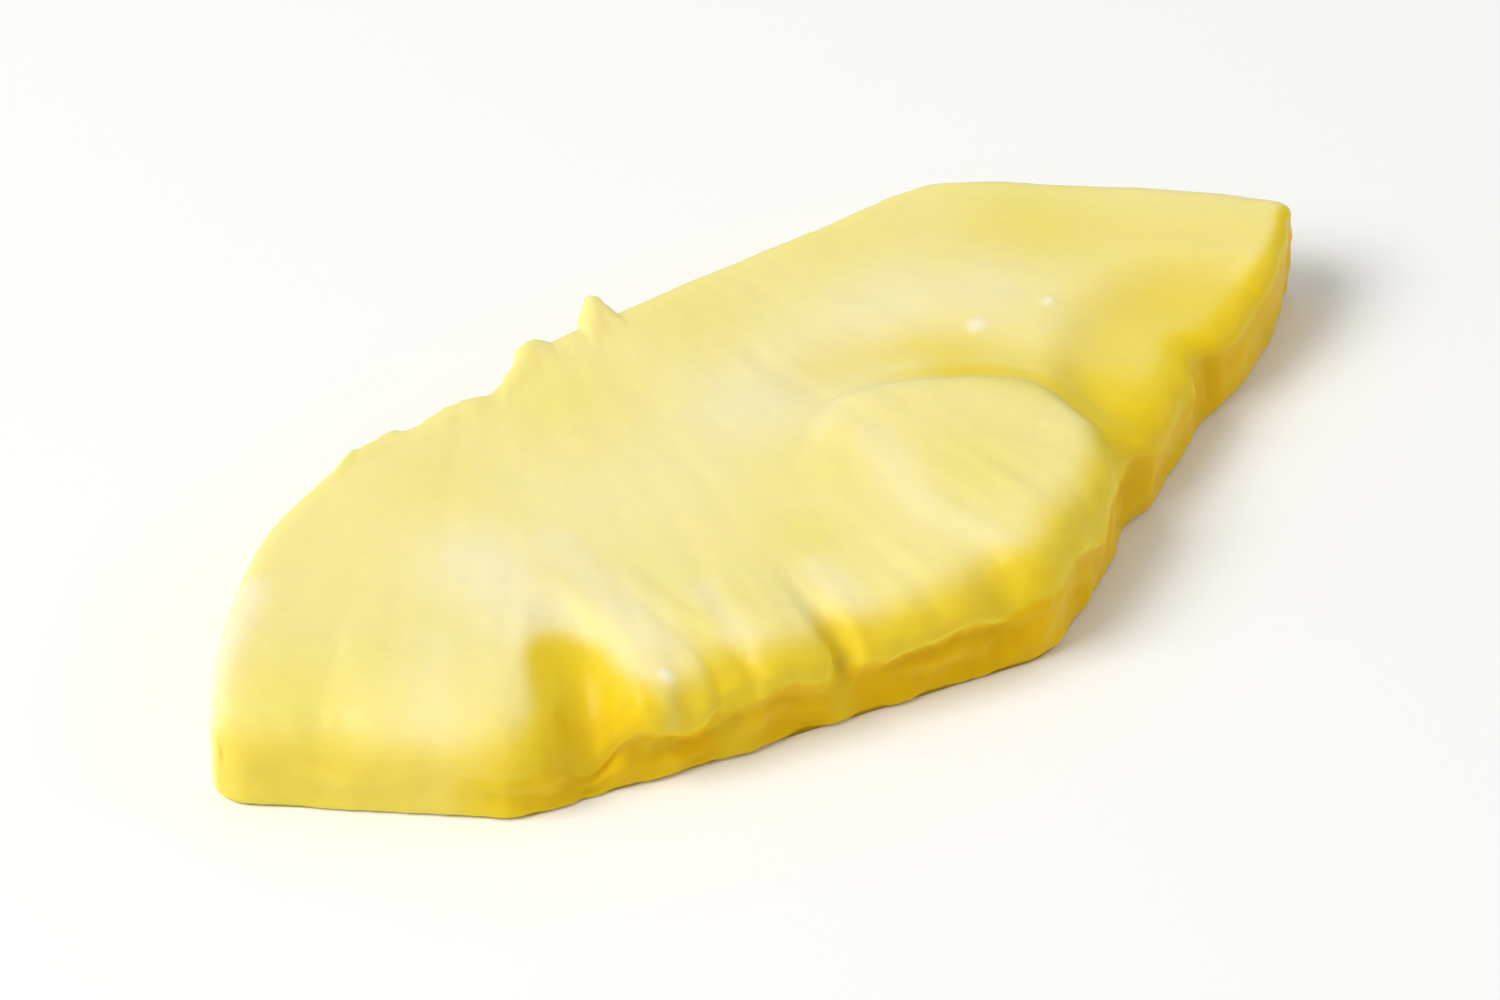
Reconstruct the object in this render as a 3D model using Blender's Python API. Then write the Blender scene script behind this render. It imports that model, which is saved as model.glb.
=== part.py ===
# A fresh pineapple slice: a quarter of a round slice, peeled with a knife, its core cut off.
# It lies flat on its lower cut. Sizes are in metres, angles in degrees, +Z is up.
# It is drawn round the axis of the fruit that it came from, by an angle along the slice and a
# radius across it. The knife-peeled rind side faces -Y and the straight core cut faces +Y.

import math
from collections import namedtuple

import bmesh
import bpy
from mathutils import Vector, noise

MM = 0.001

# The fruit and the cuts that made the slice. Its two end cuts run almost along a radius.
Ends = namedtuple("Ends", "left right")
THICKNESS = 8.0 * MM
WEDGE_ANGLE_AT_CORE = Ends(54.3, 55.2)
WEDGE_ANGLE_AT_RIND = Ends(50.8, 52.6)
CORE_CUT = Ends(19.9 * MM, 17.6 * MM)
CORE_CUT_STEP_ANGLE = -28.0
CORE_CUT_STEP_WIDTH = 14.0

# The peeling knife left flats. Each corner between two flats has an angle and a radius.
Corner = namedtuple("Corner", "angle radius")
KNIFE_CORNERS = (
    Corner(-51.0, 58.4 * MM),
    Corner(-30.0, 57.6 * MM),
    Corner(9.0, 56.6 * MM),
    Corner(51.0, 55.5 * MM),
)
CORNER_BLUNTING = 1.6
BLUNTING_STEPS = (-1.0, -0.5, 0.0, 0.5, 1.0)

# How far each corner of the outline is rounded, along and across, as shares of half the slice.
ROUND_RIND = Ends((0.05, 0.20), (0.022, 0.08))
ROUND_CORE = Ends((0.19, 0.62), (0.085, 0.34))

# The fruitlets that stand out along the rind side, from left to right. Each has its middle angle,
# half its width, the radius where it starts to rise, its rise, how far it bulges outwards, and
# how far down the side the bulge goes, as a share of the height of the side.
Fruitlet = namedtuple("Fruitlet", "angle spread start rise bulge foot")
FRUITLETS = (
    Fruitlet(-36.0, 7.5, 43.0 * MM, 0.35 * MM, 0.5 * MM, 0.95),
    Fruitlet(-19.0, 4.9, 41.0 * MM, 0.55 * MM, 1.0 * MM, 0.42),
    Fruitlet(-11.6, 4.9, 42.0 * MM, 0.7 * MM, 1.0 * MM, 0.38),
    Fruitlet(-1.0, 7.0, 46.0 * MM, 0.45 * MM, 0.7 * MM, 0.30),
    Fruitlet(14.5, 7.6, 48.0 * MM, 0.25 * MM, 0.3 * MM, 0.30),
    Fruitlet(30.2, 6.0, 52.0 * MM, 0.05 * MM, 0.1 * MM, 1.15),
    Fruitlet(44.0, 6.8, 50.0 * MM, 0.25 * MM, 1.1 * MM, 4.0),
)
FRUITLET_RAMP = 8.0 * MM
FRUITLET_ROUNDNESS = 0.7

# The fruitlets on the left lean: inwards they lie further left, by so many degrees a metre.
LEAN_ANGLE = -18.0
LEAN_SPREAD = 13.0
LEAN_TURN = 0.45 / MM
LEAN_FROM = 54.0 * MM

# The petal, the largest fruitlet, is a round disc that melts away on its left. A groove runs
# round its inner edge. The groove's place and width are shares of the petal's own radius.
PETAL_ANGLE = 11.2
PETAL_RADIUS = 45.8 * MM
PETAL_SIZE = 11.0 * MM
PETAL_RISE = 1.0 * MM
PETAL_EDGE_POWER = 8.0
PETAL_FADE_ANGLE = -3.0
PETAL_FADE_SPREAD = 14.0
GROOVE_DEPTH = 0.5 * MM
GROOVE_AT = 1.30
GROOVE_WIDTH = 0.24
GROOVE_ANGLE = 19.0
GROOVE_SPREAD = 15.0

# The pocket is a scooped hollow right of the petal, open outwards.
POCKET_ANGLE = 34.3
POCKET_RADIUS = 51.0 * MM
POCKET_HALF_ANGLE = 13.0
POCKET_HALF_RADIUS = 10.5 * MM
POCKET_DEPTH = 1.1 * MM
POCKET_STEEPNESS = 1.2
POCKET_ROUNDNESS = 1.6

# Gullies between fruitlets narrow inwards and run out to the rind side and down it. The first is
# a broad open pit, the third a narrow cleft.
Gully = namedtuple("Gully", "angle spread start depth recess foot")
GULLIES = (
    Gully(-25.9, 5.8, 43.0 * MM, 0.8 * MM, 0.8 * MM, 1.6),
    Gully(-15.4, 2.4, 46.0 * MM, 0.45 * MM, 0.6 * MM, 0.5),
    Gully(-7.0, 1.5, 46.0 * MM, 0.7 * MM, 0.8 * MM, 0.5),
    Gully(22.4, 3.4, 51.0 * MM, 0.7 * MM, 1.0 * MM, 2.5),
    Gully(35.8, 2.4, 50.5 * MM, 0.5 * MM, 0.8 * MM, 1.3),
)
GULLY_RAMP = 8.0 * MM
GULLY_NARROWEST = 0.35
GULLY_SHARPNESS = 1.8

# How far the top rolls down at the rind side, at stations along it. The lip hangs lower on the
# fruitlets, and unevenly.
Roll = namedtuple("Roll", "angle drop width")
RIND_ROLL = (
    Roll(-53.0, 3.8 * MM, 6.5 * MM),
    Roll(-31.0, 3.8 * MM, 6.8 * MM),
    Roll(-26.0, 4.4 * MM, 8.0 * MM),
    Roll(-22.0, 2.7 * MM, 5.4 * MM),
    Roll(-8.0, 2.5 * MM, 5.4 * MM),
    Roll(12.0, 1.9 * MM, 5.2 * MM),
    Roll(26.0, 1.5 * MM, 3.6 * MM),
    Roll(53.0, 0.6 * MM, 1.4 * MM),
)
CROWN_DROP = 0.5 * MM
LIP_WANDER_SHARE = 0.45
LIP_WANDER_ANGLE = 3.4
LIP_WANDER_ON_LEFT_FLAT = 0.3
CUT_EDGE_ROUND = 0.7 * MM
CUT_EDGE_WIDTH = 1.3 * MM
FOOT_TUCK = 0.35 * MM
FOOT_TUCK_START = 0.9

# Torn flaps of fibre on the top edge of the core cut, each with its angle, half width and reach.
Flap = namedtuple("Flap", "angle spread reach lift")
FLAPS = (
    Flap(-47.0, 3.0, 0.7 * MM, 0.3 * MM),
    Flap(-37.0, 5.0, 0.5 * MM, 0.4 * MM),
    Flap(-24.5, 5.5, 0.6 * MM, 0.6 * MM),
    Flap(-7.0, 4.8, 1.2 * MM, 1.5 * MM),
)
FLAP_DEPTH = 3.0 * MM
FLAP_FALL = 0.5

# The cut faces are not quite flat: long waves, and ridges of fibre that run out from the core.
WAVE_LENGTH = 13.0 * MM
WAVE_HEIGHT = 0.35 * MM
RIDGE_PITCH_ANGLE = 2.7
RIDGE_LENGTH = 17.0 * MM
RIDGE_HEIGHT = 0.07 * MM
RIDGE_FULL_RADIUS = 40.0 * MM
SIDE_WAVE_LENGTH = 6.0 * MM
SIDE_WAVE_HEIGHT = 0.35 * MM

# Nothing in a fruit is a true arc, so the forms on the top are drawn a little off their places.
# The seed fixes how, as the noise's vectors would otherwise follow the clock.
WOBBLE_LENGTH = 7.0 * MM
WOBBLE_ANGLE = 1.3
WOBBLE_RADIUS = 1.3 * MM
WOBBLE_SEED = 1796053448

# The rind side's left flat leans back, by so much at its top.
LEFT_FLAT_END_ANGLE = -38.0
LEFT_FLAT_SOFTNESS = 9.0
LEFT_FLAT_LEAN = 0.5 * MM

# The rind side is torn where fruitlets were cut through, less so on the right, and its left flat
# is a clean cut.
LUMP_SIZE = 3.4 * MM
LUMP_HEIGHT = 0.42 * MM
LUMP_FLATNESS = 1.2
LUMP_FOOT_START = 0.5
LUMP_FOOT_WIDTH = 0.45
RIND_ARC_RADIUS = 57.0 * MM
CLEAN_UP_TO_ANGLE = -34.0
CLEAN_SOFTNESS = 6.0
CLEAN_SHARE = 0.2
CALM_FROM_ANGLE = 16.0
CALM_SOFTNESS = 8.0
CALM_SHARE = 0.45

# Each use of the noise field takes its own layer of it, so that the patterns don't repeat.
WOBBLE_LAYER = 3.0 * MM
LIP_LAYER = 4.0
RIDGE_LAYER = 5.0
LUMP_LAYER = 20.0 * MM

# How finely the faces are divided.
STEPS_ALONG = 104
STEPS_ACROSS = 32
SIDE_ROWS = 6
ROWS_TOWARDS_RIND = 0.30

FLESH_COLOUR = (0.86, 0.72, 0.26, 1.0)
FLESH_ROUGHNESS = 0.38


def clamp(value):
    return max(0.0, min(1.0, value))


def smooth_step(value):
    share = clamp(value)
    return share * share * (3.0 - 2.0 * share)


def mix(first, last, share):
    return first + (last - first) * share


# A round hump that is 1 in the middle and 0 from one half width away.
def hump(offset, half_width, power=1.0):
    share = offset / half_width
    return max(0.0, 1.0 - share * share) ** power


def flat_place(angle, radius, height):
    turn = math.radians(angle)
    return Vector((radius * math.sin(turn), radius * math.cos(turn), height))


# The radius of the knife's flats at an angle, before the corners between them are blunted.
def flat_radius(angle):
    for first, last in zip(KNIFE_CORNERS, KNIFE_CORNERS[1:]):
        if angle <= last.angle or last is KNIFE_CORNERS[-1]:
            span = math.sin(math.radians(last.angle - first.angle))
            before = first.radius * math.sin(math.radians(angle - first.angle))
            after = last.radius * math.sin(math.radians(last.angle - angle))
            return first.radius * last.radius * span / (before + after)


def rind_radius(angle):
    blunted = [flat_radius(angle + CORNER_BLUNTING * step) for step in BLUNTING_STEPS]
    return sum(blunted) / len(blunted)


def core_radius(angle):
    step = smooth_step((angle - CORE_CUT_STEP_ANGLE) / CORE_CUT_STEP_WIDTH + 0.5)
    return mix(CORE_CUT.left, CORE_CUT.right, step) / math.cos(math.radians(angle))


# Rounds the corners of the square that the slice is laid out on, without folding its grid.
def round_corners(along, across):
    corners = ROUND_RIND if across > 0.0 else ROUND_CORE
    corner = corners.right if along > 0.0 else corners.left
    first = (abs(along) - 1.0) / corner[0] + 1.0
    second = (abs(across) - 1.0) / corner[1] + 1.0
    if first <= 0.0 or second <= 0.0:
        return along, across
    rounded_first = first * math.sqrt(1.0 - second * second / 2.0)
    rounded_second = second * math.sqrt(1.0 - first * first / 2.0)
    new_along = 1.0 + (rounded_first - 1.0) * corner[0]
    new_across = 1.0 + (rounded_second - 1.0) * corner[1]
    return math.copysign(new_along, along), math.copysign(new_across, across)


def left_flat_share(angle):
    return 1.0 - smooth_step((angle - LEFT_FLAT_END_ANGLE) / LEFT_FLAT_SOFTNESS)


# The distance from the petal's middle, 1 on its edge.
def petal_distance(angle, radius):
    middle = flat_place(PETAL_ANGLE, PETAL_RADIUS, 0.0)
    return (flat_place(angle, radius, 0.0) - middle).length / PETAL_SIZE


def petal_relief(angle, radius):
    distance = petal_distance(angle, radius)
    fade = smooth_step((angle - PETAL_FADE_ANGLE) / PETAL_FADE_SPREAD)
    rise = PETAL_RISE * fade * smooth_step(1.0 - distance ** PETAL_EDGE_POWER)
    near = hump(angle - GROOVE_ANGLE, GROOVE_SPREAD)
    groove = GROOVE_DEPTH * near * math.exp(-(((distance - GROOVE_AT) / GROOVE_WIDTH) ** 2))
    return rise - groove


def pocket_relief(angle, radius):
    across = (angle - POCKET_ANGLE) / POCKET_HALF_ANGLE
    outwards = (radius - POCKET_RADIUS) / POCKET_HALF_RADIUS
    inside = 1.0 - across * across - min(outwards, 0.0) ** 2
    return -POCKET_DEPTH * smooth_step(POCKET_STEEPNESS * inside) ** POCKET_ROUNDNESS


def leaned(angle, radius):
    share = hump(angle - LEAN_ANGLE, LEAN_SPREAD)
    return angle + LEAN_TURN * share * (LEAN_FROM - radius)


def fruitlet_relief(angle, radius):
    angle = leaned(angle, radius)
    total = 0.0
    for fruitlet in FRUITLETS:
        rising = smooth_step((radius - fruitlet.start) / FRUITLET_RAMP)
        total += fruitlet.rise * rising * hump(angle - fruitlet.angle, fruitlet.spread, FRUITLET_ROUNDNESS)
    return total


def gully_relief(angle, radius):
    angle = leaned(angle, radius)
    total = 0.0
    for gully in GULLIES:
        falling = smooth_step((radius - gully.start) / GULLY_RAMP)
        width = gully.spread * mix(GULLY_NARROWEST, 1.0, falling)
        total -= gully.depth * falling * hump(angle - gully.angle, width, GULLY_SHARPNESS)
    return total


def grain_relief(angle, radius):
    wave = noise.noise(flat_place(angle, radius, 0.0) / WAVE_LENGTH)
    strand = Vector((angle / RIDGE_PITCH_ANGLE, radius / RIDGE_LENGTH, RIDGE_LAYER))
    ridge = noise.noise(strand) * clamp(radius / RIDGE_FULL_RADIUS)
    return WAVE_HEIGHT * wave + RIDGE_HEIGHT * ridge


def wobbled(angle, radius):
    sway = noise.noise_vector(flat_place(angle, radius, WOBBLE_LAYER) / WOBBLE_LENGTH)
    return angle + WOBBLE_ANGLE * sway.x, radius + WOBBLE_RADIUS * sway.y


def roll_at(angle):
    for first, last in zip(RIND_ROLL, RIND_ROLL[1:]):
        if angle <= last.angle or last is RIND_ROLL[-1]:
            share = smooth_step((angle - first.angle) / (last.angle - first.angle))
            crown = max(hump(angle - fruitlet.angle, fruitlet.spread) for fruitlet in FRUITLETS)
            wander = LIP_WANDER_SHARE * noise.noise(Vector((angle / LIP_WANDER_ANGLE, 0.0, LIP_LAYER)))
            wander *= mix(1.0, LIP_WANDER_ON_LEFT_FLAT, left_flat_share(angle))
            drop = mix(first.drop, last.drop, share) + CROWN_DROP * crown
            return drop * (1.0 + wander), mix(first.width, last.width, share)


# The quarter-round drop of an edge, at a distance in from it.
def edge_drop(distance, drop, width):
    share = clamp(1.0 - distance / width)
    return drop * (1.0 - math.sqrt(1.0 - share * share))


def flap_at(angle, part):
    return sum(getattr(flap, part) * hump(angle - flap.angle, flap.spread) for flap in FLAPS)


# core_gap, end_gap and rind_gap are the distances in from the core cut, an end cut and the rind.
def top_height(angle, radius, core_gap, end_gap, rind_gap):
    drop, width = roll_at(angle)
    height = THICKNESS + grain_relief(angle, radius)
    angle, radius = wobbled(angle, radius)
    height += petal_relief(angle, radius) + pocket_relief(angle, radius)
    height += fruitlet_relief(angle, radius) + gully_relief(angle, radius)
    height += flap_at(angle, "lift") * clamp(1.0 - core_gap / FLAP_DEPTH)
    height -= edge_drop(rind_gap, drop, width)
    height -= edge_drop(min(core_gap, end_gap), CUT_EDGE_ROUND, CUT_EDGE_WIDTH)
    return height


def rind_lumps(angle, fall):
    below = THICKNESS * fall * LUMP_FLATNESS
    lump = noise.noise(Vector((math.radians(angle) * RIND_ARC_RADIUS, below, LUMP_LAYER)) / LUMP_SIZE)
    torn = mix(CLEAN_SHARE, 1.0, smooth_step((angle - CLEAN_UP_TO_ANGLE) / CLEAN_SOFTNESS))
    calm = mix(1.0, CALM_SHARE, smooth_step((angle - CALM_FROM_ANGLE) / CALM_SOFTNESS))
    faded = 1.0 - smooth_step((fall - LUMP_FOOT_START) / LUMP_FOOT_WIDTH)
    return LUMP_HEIGHT * lump * torn * calm * faded


# How far the rind side stands out from the knife's flat.
def rind_bulge(angle, fall):
    stand = rind_lumps(angle, fall) - LEFT_FLAT_LEAN * (1.0 - fall) * left_flat_share(angle)
    for fruitlet in FRUITLETS:
        tucked = 1.0 - smooth_step(fall / fruitlet.foot)
        stand += fruitlet.bulge * hump(angle - fruitlet.angle, fruitlet.spread, FRUITLET_ROUNDNESS) * tucked
    for gully in GULLIES:
        open_share = 1.0 - smooth_step(fall / gully.foot)
        stand -= gully.recess * hump(angle - gully.angle, gully.spread, GULLY_SHARPNESS) * open_share
    return stand


# How far a point down the side moves outwards.
def side_shift(angle, radius, fall):
    spot = flat_place(angle, radius, THICKNESS * fall) / SIDE_WAVE_LENGTH
    wave = SIDE_WAVE_HEIGHT * noise.noise(spot) * math.sin(math.pi * fall)
    return wave - FOOT_TUCK * smooth_step((fall - FOOT_TUCK_START) / (1.0 - FOOT_TUCK_START))


# A point of the surface. along runs from -1 to 1 over the slice's length, across from -1 at the
# core cut to 1 at the rind side, and fall from 0 at the top edge to 1 at the underside.
def slice_point(along, across, fall):
    raw_share = 0.5 + 0.5 * across
    raw_share += ROWS_TOWARDS_RIND * raw_share * (1.0 - raw_share)
    round_along, round_across = round_corners(along, 2.0 * raw_share - 1.0)
    share = 0.5 + 0.5 * round_across
    end = "right" if along > 0.0 else "left"
    limit = mix(getattr(WEDGE_ANGLE_AT_CORE, end), getattr(WEDGE_ANGLE_AT_RIND, end), share * share)
    angle = limit * round_along
    inner = core_radius(angle) - flap_at(angle, "reach") * (1.0 - smooth_step(fall / FLAP_FALL))
    outer = rind_radius(angle) + rind_bulge(angle, fall)
    radius = mix(inner, outer, share)
    core_gap = (outer - inner) * raw_share
    rind_gap = (outer - inner) * (1.0 - raw_share)
    end_gap = (1.0 - abs(along)) * math.radians(limit) * radius
    height = top_height(angle, radius, core_gap, end_gap, rind_gap)
    if fall > 0.0:
        radius += side_shift(angle, radius, fall) * (2.0 * share - 1.0)
        height *= 1.0 - fall
    turn = math.radians(angle)
    return Vector((radius * math.sin(turn), -radius * math.cos(turn), height))


# A square grid makes the top. Its rim is drawn down row by row, and the last rim is filled.
def make_slice_mesh():
    body = bmesh.new()
    bmesh.ops.create_grid(body, x_segments=STEPS_ALONG, y_segments=STEPS_ACROSS, size=1.0)
    rim = [edge for edge in body.edges if edge.is_boundary]
    for row in range(1, SIDE_ROWS + 1):
        drawn = bmesh.ops.extrude_edge_only(body, edges=rim)["geom"]
        rim = [item for item in drawn if isinstance(item, bmesh.types.BMEdge)]
        for corner in (item for item in drawn if isinstance(item, bmesh.types.BMVert)):
            corner.co.z = -row / SIDE_ROWS
    underside = bmesh.ops.contextual_create(body, geom=rim)["faces"]
    for corner in body.verts:
        corner.co = slice_point(corner.co.x, corner.co.y, -corner.co.z)
    bmesh.ops.triangulate(body, faces=underside)
    bmesh.ops.recalc_face_normals(body, faces=body.faces)
    mesh = bpy.data.meshes.new("pineapple_slice")
    body.to_mesh(mesh)
    body.free()
    return mesh


# Moves the mesh so that its origin is under the middle of its box, on the underside.
def centre_on_underside(mesh):
    xs = [vertex.co.x for vertex in mesh.vertices]
    ys = [vertex.co.y for vertex in mesh.vertices]
    middle = Vector(((min(xs) + max(xs)) / 2.0, (min(ys) + max(ys)) / 2.0, 0.0))
    for vertex in mesh.vertices:
        vertex.co -= middle


def make_flesh():
    flesh = bpy.data.materials.new("pineapple_flesh")
    flesh.use_nodes = True
    shader = flesh.node_tree.nodes["Principled BSDF"]
    shader.inputs["Base Color"].default_value = FLESH_COLOUR
    shader.inputs["Roughness"].default_value = FLESH_ROUGHNESS
    shader.inputs["Metallic"].default_value = 0.0
    return flesh


def clear_scene():
    for thing in list(bpy.data.objects):
        bpy.data.objects.remove(thing)


def main():
    clear_scene()
    noise.seed_set(WOBBLE_SEED)
    group = bpy.data.collections.new("pineapple_slice")
    bpy.context.scene.collection.children.link(group)
    mesh = make_slice_mesh()
    centre_on_underside(mesh)
    mesh.materials.append(make_flesh())
    mesh.shade_smooth()
    group.objects.link(bpy.data.objects.new("pineapple_slice", mesh))


main()
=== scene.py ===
# A fresh pineapple slice, knife-peeled and cored, on a pale table in soft studio light.

import math

import bmesh
import bpy
from mathutils import Euler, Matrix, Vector, noise


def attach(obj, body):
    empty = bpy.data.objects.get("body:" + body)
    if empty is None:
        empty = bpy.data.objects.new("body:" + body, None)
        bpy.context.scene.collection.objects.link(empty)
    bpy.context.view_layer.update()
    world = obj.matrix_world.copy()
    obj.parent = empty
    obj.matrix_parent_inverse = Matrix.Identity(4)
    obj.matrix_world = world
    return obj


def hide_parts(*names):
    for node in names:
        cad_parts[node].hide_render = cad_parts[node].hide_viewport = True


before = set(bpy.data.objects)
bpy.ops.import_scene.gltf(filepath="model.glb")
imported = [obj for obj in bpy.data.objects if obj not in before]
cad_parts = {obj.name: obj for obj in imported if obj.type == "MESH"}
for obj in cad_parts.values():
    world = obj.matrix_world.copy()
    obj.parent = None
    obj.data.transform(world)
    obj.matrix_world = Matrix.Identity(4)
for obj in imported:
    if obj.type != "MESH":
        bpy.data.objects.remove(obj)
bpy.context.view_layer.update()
mm = 0.001
print("frame loaded")

# the slice is drawn round the axis of its fruit: angles in degrees along it, radii in mm across it
sliceForm = {
    "axisPlace": (-0.02, 36.23),  # where the axis stands, from the middle of the slice
    "thickness": 8.0,
    "wedgeAtCore": {"Left": 54.3, "Right": 55.2},  # the end cuts, nearly along a radius
    "wedgeAtRind": {"Left": 50.8, "Right": 52.6},
    "coreCutLeft": 19.9,  # how far the core cut is from the fruit's axis
    "coreCutRight": 17.6,
    "coreStepAngle": -28.0,
    "coreStepWidth": 14.0,
    "knifeCorners": [(-51.0, 58.4), (-30.0, 57.6), (9.0, 56.6), (51.0, 55.5)],  # angle, radius
    "cornerBlunting": 1.6,
    "leftFlatEnd": -38.0,  # the rind side's left flat, cut clean, leans back by so many mm at its top
    "leftFlatSoftness": 9.0,
    "leftFlatLean": 0.5,
    "roundRindLeft": (0.05, 0.20),  # shares of half the length and half the width
    "roundRindRight": (0.022, 0.08),
    "roundCoreLeft": (0.19, 0.62),
    "roundCoreRight": (0.085, 0.34),
    "cutEdgeDrop": 0.7,
    "cutEdgeWidth": 1.3,
    "footTuck": 0.35,
    "footFrom": 0.9,  # how far down the side the foot starts to tuck in
    "stepsAlong": 300,
    "stepsAcross": 104,
    "sideRows": 22,
    "rowsTowardsRind": 0.30,
}

# the lobes along the rind side, left to right: foot is how far down the side the bulge goes, as a
# share of the thickness
fruitlets = [
    {"angle": -36.0, "spread": 7.5, "start": 43.0, "rise": 0.35, "bulge": 0.5, "foot": 0.95},
    {"angle": -19.0, "spread": 4.9, "start": 41.0, "rise": 0.55, "bulge": 1.0, "foot": 0.42},
    {"angle": -11.6, "spread": 4.9, "start": 42.0, "rise": 0.7, "bulge": 1.0, "foot": 0.38},
    {"angle": -1.0, "spread": 7.0, "start": 46.0, "rise": 0.45, "bulge": 0.7, "foot": 0.30},
    {"angle": 14.5, "spread": 7.6, "start": 48.0, "rise": 0.25, "bulge": 0.3, "foot": 0.30},
    {"angle": 30.2, "spread": 6.0, "start": 52.0, "rise": 0.05, "bulge": 0.1, "foot": 1.15},
    {"angle": 44.0, "spread": 6.8, "start": 50.0, "rise": 0.25, "bulge": 1.1, "foot": 4.0},
]
fruitletShape = {
    "ramp": 8.0,  # mm over which a lobe rises outwards
    "topRoundness": 0.7,
    "sideRoundness": 0.8,
    "crownWidth": 1.35,
    "crownRoundness": 1.5,
}

# the lobes on the left lean: inwards they lie further left, by so many degrees a millimetre
lobeLean = {"angle": -18.0, "spread": 13.0, "turn": 0.45, "from": 54.0}

# the gullies between them narrow inwards; foot is how far down the side they go, gold how golden
# they are (partly painted shade in the hollow), and from which radius. The first is a broad open pit, the
# third a narrow cleft
gullies = [
    {"angle": -25.9, "spread": 5.8, "start": 43.0, "depth": 0.8, "recess": 0.8, "foot": 1.6,
     "gold": 0.60, "goldFrom": 44.5},
    {"angle": -15.4, "spread": 2.4, "start": 46.0, "depth": 0.45, "recess": 0.6, "foot": 0.5,
     "gold": 0.28, "goldFrom": 48.0},
    {"angle": -7.0, "spread": 1.5, "start": 46.0, "depth": 0.7, "recess": 0.8, "foot": 0.5,
     "gold": 0.30, "goldFrom": 48.0},
    {"angle": 22.4, "spread": 3.4, "start": 51.0, "depth": 0.7, "recess": 1.0, "foot": 2.5,
     "gold": 0.45, "goldFrom": 51.5},
    {"angle": 35.8, "spread": 2.4, "start": 50.5, "depth": 0.5, "recess": 0.8, "foot": 1.3,
     "gold": 0.40, "goldFrom": 51.0},
]
gullyShape = {
    "ramp": 8.0,  # mm over which a gully deepens outwards
    "innerWidth": 0.35,  # how wide its inner end is, as a share of its full width
    "topRoundness": 1.8,
    "sideRoundness": 1.6,
}

# the petal is the big round fruitlet; a groove runs round its inner edge
petal = {
    "angle": 11.2,
    "radius": 45.8,
    "size": 11.0,
    "rise": 1.0,
    "edgePower": 8.0,  # how steep its edge is
    "fadeAngle": -3.0,  # the petal melts into the flesh on its left
    "fadeSpread": 14.0,
    "grooveDepth": 0.5,
    "grooveAt": 1.30,  # in petal sizes from its middle
    "grooveWidth": 0.24,
    "grooveAngle": 19.0,
    "grooveSpread": 15.0,
}

# the pocket is the golden scoop right of the petal
pocket = {
    "angle": 34.3,
    "radius": 51.0,
    "halfAngle": 13.0,
    "halfRadius": 10.5,
    "depth": 1.1,
    "fullness": 1.2,  # above 1 its floor is flat
    "roundness": 1.6,
}

# how far the top rolls down into the rind side: angle, drop, width
rindRoll = [
    (-53.0, 3.8, 6.5),
    (-31.0, 3.8, 6.8),
    (-26.0, 4.4, 8.0),
    (-22.0, 2.7, 5.4),
    (-8.0, 2.5, 5.4),
    (12.0, 1.9, 5.2),
    (26.0, 1.5, 3.6),
    (53.0, 0.6, 1.4),
]
# the lip hangs lower on the lobes, unevenly, and hardly wanders on the left flat
lipWander = {"crownDrop": 0.5, "share": 0.45, "angle": 3.4, "leftFlatShare": 0.3}

# beads of juice that catch the light: angle, radius, half width
beads = [(29.9, 37.7, 0.9), (35.9, 41.2, 0.6), (-20.0, 53.5, 0.7), (-20.4, 57.2, 0.6)]
beadShape = {"height": 0.22, "softness": 2.0}

# torn flaps of fibre on the core cut's top edge
flaps = [
    {"angle": -49.4, "spread": 1.1, "reach": 0.3, "lift": 0.5},
    {"angle": -47.0, "spread": 3.0, "reach": 0.7, "lift": 0.3},
    {"angle": -37.0, "spread": 5.0, "reach": 0.5, "lift": 0.4},
    {"angle": -24.5, "spread": 5.5, "reach": 0.6, "lift": 0.6},
    {"angle": -7.0, "spread": 4.8, "reach": 1.2, "lift": 1.5},
]
flapShape = {"depth": 3.0, "foot": 0.5}  # mm over the top, and the share of the way down the side

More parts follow.
